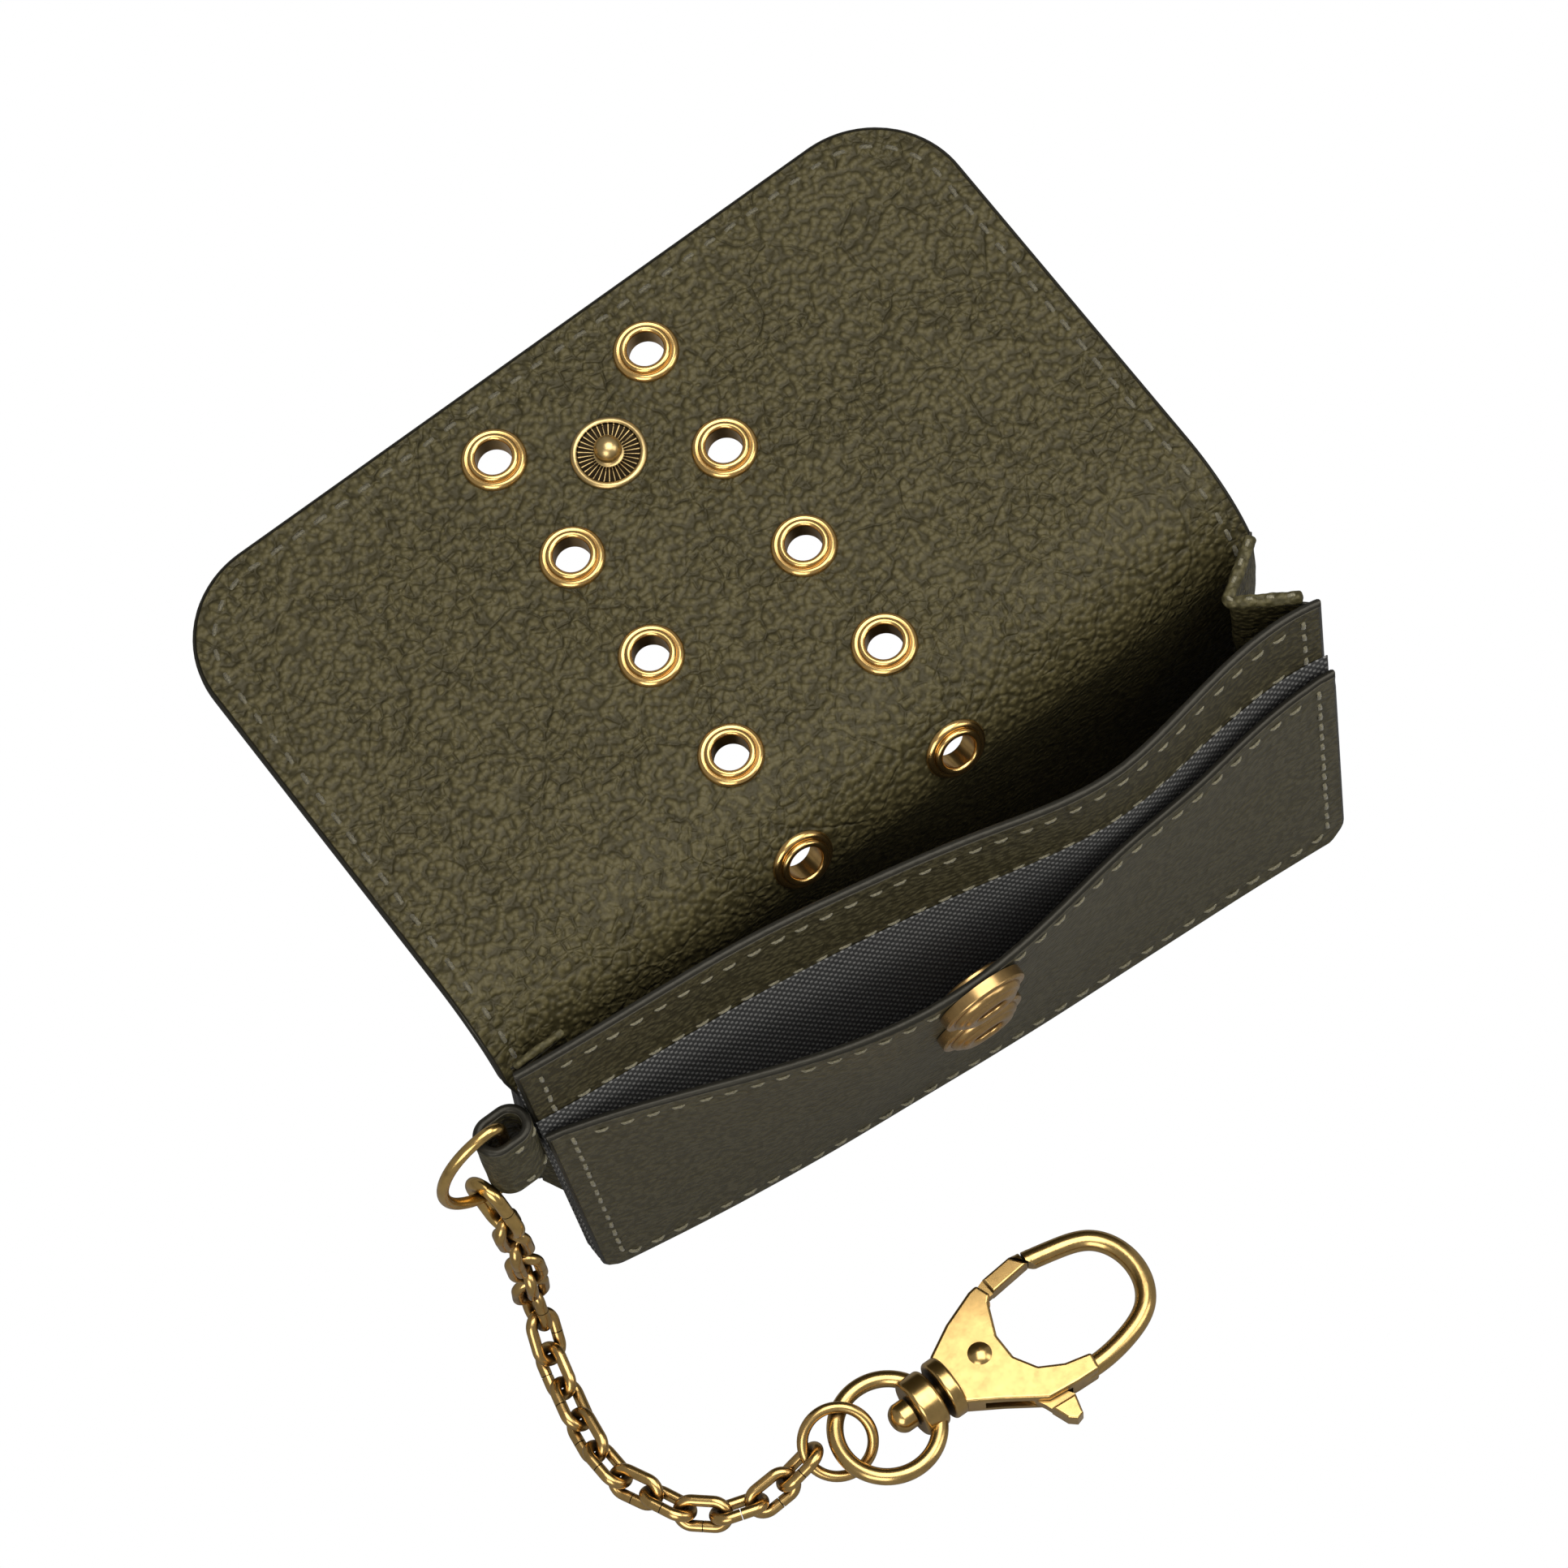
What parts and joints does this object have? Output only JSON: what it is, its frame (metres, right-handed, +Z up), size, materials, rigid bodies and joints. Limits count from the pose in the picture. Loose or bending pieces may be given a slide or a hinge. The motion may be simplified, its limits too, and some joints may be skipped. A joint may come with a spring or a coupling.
{
  "type": "chain wallet",
  "caption": "Leather flap card wallet standing open, gusseted compartment and front pocket, eyelets and snaps on the flap, with a brass cable chain and swivel clasp.",
  "frame": {"origin": "centre of the base's underside, where the wallet stands", "axes": "+Z up, +X the wallet's right seen from its front, +Y to its back, where the open flap reaches"},
  "size_m": [0.1245, 0.1264, 0.0755],
  "materials": {
    "woven_lining": "plain woven black and grey lining",
    "binding_leather": "rolled binding, pebbled",
    "front_leather": "waxed, creased",
    "divider_leather": "pebbled",
    "outer_leather": "pebbled, painted edges",
    "facing_leather": "pebbled with creases",
    "gusset_leather": "thin pebbled",
    "tab_leather": "folded, painted edges",
    "eyelet_brass": "antique satin",
    "stud_brass": "antique satin",
    "socket_brass": "antique, dark recesses",
    "ring_brass": "antique, dark recesses",
    "chain_brass": "antique, dark recesses",
    "clasp_brass": "antique cast, dark recesses"
  },
  "bodies": {
    "wallet": {"front_panel": "front_leather", "front_pocket_lining": "woven_lining", "divider_lining": "woven_lining", "divider_panel": "divider_leather", "compartment_lining": "woven_lining", "back_lining": "facing_leather", "back_panel": "outer_leather", "base_panel": "outer_leather", "gusset_right": "gusset_leather", "gusset_left": "gusset_leather", "gusset_binding_right": "binding_leather", "gusset_binding_left": "binding_leather", "socket_upper": "socket_brass", "socket_lower": "socket_brass", "socket_backs": "socket_brass", "ring_tab": "tab_leather"},
    "flap_riser": {"riser_facing": "facing_leather", "riser_leather": "outer_leather", "fold_eyelets": "eyelet_brass", "fold_eyelet_washers": "eyelet_brass"},
    "flap_spine": {"spine_facing": "facing_leather", "spine_leather": "outer_leather", "spine_eyelets": "eyelet_brass", "spine_eyelet_washers": "eyelet_brass"},
    "flap": {"flap_facing": "facing_leather", "flap_leather": "outer_leather", "flap_eyelets": "eyelet_brass", "flap_eyelet_washers": "eyelet_brass", "flap_stud": "stud_brass", "flap_stud_cap": "stud_brass"},
    "d_ring": {"d_ring": "ring_brass"},
    "oval_ring": {"oval_ring": "ring_brass"},
    "link_01": {"chain_link_01": "chain_brass"},
    "link_02": {"chain_link_02": "chain_brass"},
    "link_03": {"chain_link_03": "chain_brass"},
    "link_04": {"chain_link_04": "chain_brass"},
    "link_05": {"chain_link_05": "chain_brass"},
    "link_06": {"chain_link_06": "chain_brass"},
    "link_07": {"chain_link_07": "chain_brass"},
    "link_08": {"chain_link_08": "chain_brass"},
    "link_09": {"chain_link_09": "chain_brass"},
    "link_10": {"chain_link_10": "chain_brass"},
    "link_11": {"chain_link_11": "chain_brass"},
    "link_12": {"chain_link_12": "chain_brass"},
    "link_13": {"chain_link_13": "chain_brass"},
    "link_14": {"chain_link_14": "chain_brass"},
    "link_15": {"chain_link_15": "chain_brass"},
    "link_16": {"chain_link_16": "chain_brass"},
    "link_17": {"chain_link_17": "chain_brass"},
    "link_18": {"chain_link_18": "chain_brass"},
    "jump_ring": {"jump_ring": "chain_brass"},
    "swivel_eye": {"swivel_eye": "clasp_brass"},
    "clasp": {"clasp_body": "clasp_brass", "swivel_post": "clasp_brass", "clasp_rivet": "clasp_brass"},
    "gate": {"gate_lever": "clasp_brass"}
  },
  "joints": [
    {"name": "flap_lift", "type": "hinge", "parent": "wallet", "child": "flap_riser", "pos_m": [0, 0.0005, 0.0575], "axis": [1, 0, 0], "range_deg": [-10, 12]},
    {"name": "flap_fold", "type": "hinge", "parent": "flap_riser", "child": "flap_spine", "pos_m": [0, 0.00813, 0.06934], "axis": [1, 0, 0], "range_deg": [-15, 125]},
    {"name": "flap_bend", "type": "hinge", "parent": "flap_spine", "child": "flap", "pos_m": [0, 0.02252, 0.07091], "axis": [1, 0, 0], "range_deg": [-15, 80]},
    {"name": "d_ring_swing", "type": "hinge", "parent": "wallet", "child": "d_ring", "pos_m": [-0.0583, -0.00165, 0.05075], "axis": [0, 0, 1], "range_deg": [-60, 15]},
    {"name": "oval_ring_swing", "type": "hinge", "parent": "d_ring", "child": "oval_ring", "pos_m": [-0.0638, -0.00165, 0.04361], "axis": [0.8535, 0, -0.5212], "range_deg": [-4, 12]},
    {"name": "link_01_swing", "type": "hinge", "parent": "oval_ring", "child": "link_01", "pos_m": [-0.0625, -0.00486, 0.03708], "axis": [-0.2856, 0.8364, -0.4678], "range_deg": [-5, 5]},
    {"name": "link_02_swing", "type": "hinge", "parent": "link_01", "child": "link_02", "pos_m": [-0.06251, -0.00379, 0.03245], "axis": [-0.8548, -0.512, -0.085], "range_deg": [-5, 5]},
    {"name": "link_03_swing", "type": "hinge", "parent": "link_02", "child": "link_03", "pos_m": [-0.0625, -0.0037, 0.02788], "axis": [-0.6502, 0.7597, 0.0117], "range_deg": [-5, 5]},
    {"name": "link_04_swing", "type": "hinge", "parent": "link_03", "child": "link_04", "pos_m": [-0.06249, -0.00408, 0.02332], "axis": [-0.6392, -0.7667, 0.0595], "range_deg": [-5, 5]},
    {"name": "link_05_swing", "type": "hinge", "parent": "link_04", "child": "link_05", "pos_m": [-0.06252, -0.00423, 0.01875], "axis": [0.8643, -0.5029, 0.0095], "range_deg": [-5, 5]},
    {"name": "link_06_swing", "type": "hinge", "parent": "link_05", "child": "link_06", "pos_m": [-0.0626, -0.00309, 0.01432], "axis": [0.3367, 0.9151, 0.222], "range_deg": [-5, 5]},
    {"name": "link_07_swing", "type": "hinge", "parent": "link_06", "child": "link_07", "pos_m": [-0.0629, -0.00289, 0.00974], "axis": [0.9827, -0.174, -0.0633], "range_deg": [-1, 5]},
    {"name": "link_08_swing", "type": "hinge", "parent": "link_07", "child": "link_08", "pos_m": [-0.06377, -0.00504, 0.00579], "axis": [0.1485, -0.8801, 0.451], "range_deg": [-5, 5]},
    {"name": "link_09_swing", "type": "hinge", "parent": "link_08", "child": "link_09", "pos_m": [-0.065, -0.00863, 0.0031], "axis": [-0.8929, -0.0438, 0.448], "range_deg": [-9, 9]},
    {"name": "link_10_swing", "type": "hinge", "parent": "link_09", "child": "link_10", "pos_m": [-0.06627, -0.01295, 0.0022], "axis": [-0.6504, 0.3177, -0.6899], "range_deg": [-9, 9]},
    {"name": "link_11_swing", "type": "hinge", "parent": "link_10", "child": "link_11", "pos_m": [-0.06714, -0.01746, 0.00226], "axis": [-0.6928, 0.1427, 0.7069], "range_deg": [-9, 9]},
    {"name": "link_12_swing", "type": "hinge", "parent": "link_11", "child": "link_12", "pos_m": [-0.06768, -0.022, 0.00224], "axis": [-0.7018, 0.0869, -0.7071], "range_deg": [-9, 9]},
    {"name": "link_13_swing", "type": "hinge", "parent": "link_12", "child": "link_13", "pos_m": [-0.06733, -0.02657, 0.00226], "axis": [0.7054, 0.0509, -0.7069], "range_deg": [-9, 9]},
    {"name": "link_14_swing", "type": "hinge", "parent": "link_13", "child": "link_14", "pos_m": [-0.06514, -0.03064, 0.00223], "axis": [-0.6244, -0.3337, -0.7063], "range_deg": [-9, 9]},
    {"name": "link_15_swing", "type": "hinge", "parent": "link_14", "child": "link_15", "pos_m": [-0.06331, -0.03483, 0.00225], "axis": [-0.6494, -0.28, 0.707], "range_deg": [-9, 9]},
    {"name": "link_16_swing", "type": "hinge", "parent": "link_15", "child": "link_16", "pos_m": [-0.05975, -0.0378, 0.00224], "axis": [-0.4517, -0.5456, -0.7059], "range_deg": [-9, 9]},
    {"name": "link_17_swing", "type": "hinge", "parent": "link_16", "child": "link_17", "pos_m": [-0.05528, -0.03899, 0.00231], "axis": [-0.1892, -0.682, 0.7064], "range_deg": [-9, 9]},
    {"name": "link_18_swing", "type": "hinge", "parent": "link_17", "child": "link_18", "pos_m": [-0.05079, -0.03904, 0.00316], "axis": [0.1241, -0.7097, -0.6935], "range_deg": [-9, 9]},
    {"name": "jump_ring_swing", "type": "hinge", "parent": "link_18", "child": "jump_ring", "pos_m": [-0.04651, -0.03862, 0.00478], "axis": [0.1851, 0.7193, -0.6696], "range_deg": [-6, 6]},
    {"name": "swivel_eye_swing", "type": "hinge", "parent": "jump_ring", "child": "swivel_eye", "pos_m": [-0.04455, -0.04176, 0.00543], "axis": [0, 1, 0], "range_deg": [-3, 5]},
    {"name": "clasp_swivel", "type": "hinge", "parent": "swivel_eye", "child": "clasp", "pos_m": [-0.02967, -0.04176, 0.00402], "axis": [0.9955, 0, -0.0945], "continuous": true},
    {"name": "gate_open", "type": "hinge", "parent": "clasp", "child": "gate", "pos_m": [-0.02405, -0.04126, 0.00348], "axis": [0.0945, 0, 0.9955], "range_deg": [-22, 0], "stiffness_Nm_per_rad": 0.01, "springref_deg": 8.59}
  ]
}
